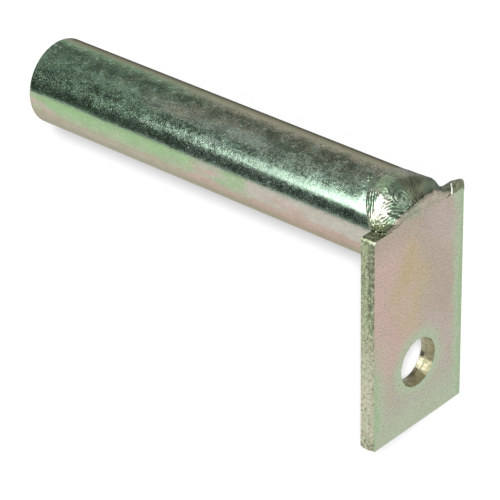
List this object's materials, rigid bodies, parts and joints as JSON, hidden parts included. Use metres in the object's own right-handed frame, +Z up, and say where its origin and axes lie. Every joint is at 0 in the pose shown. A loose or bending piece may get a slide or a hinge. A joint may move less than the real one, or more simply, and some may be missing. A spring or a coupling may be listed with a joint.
{
  "type": "gate hinge pin",
  "caption": "Solid round hinge pin welded to a flat flag plate with a bolt hole; slides through hinge eyes and bolts against turning or dropping out.",
  "frame": {"origin": "on the bar's axis at the flag plate's outer face", "axes": "+X along the bar to its free end, +Y along the plate from the bar to the bolt hole, +Z up as the pin lies on the plate's long edge"},
  "size_m": [0.1315, 0.0754, 0.0382],
  "materials": {
    "bar_zinc": "yellow-zinc passivated bar, satin, with green and pink tints and fine drawing grain",
    "plate_zinc": "yellow-zinc passivated sheet, satin taupe with green tints near its edges and hole",
    "weld_zinc": "yellow-zinc passivated weld metal, glossy and rippled"
  },
  "bodies": {
    "root": {"pin_bar": "bar_zinc", "flag_plate": "plate_zinc", "weld_bead": "weld_zinc"}
  },
  "joints": []
}
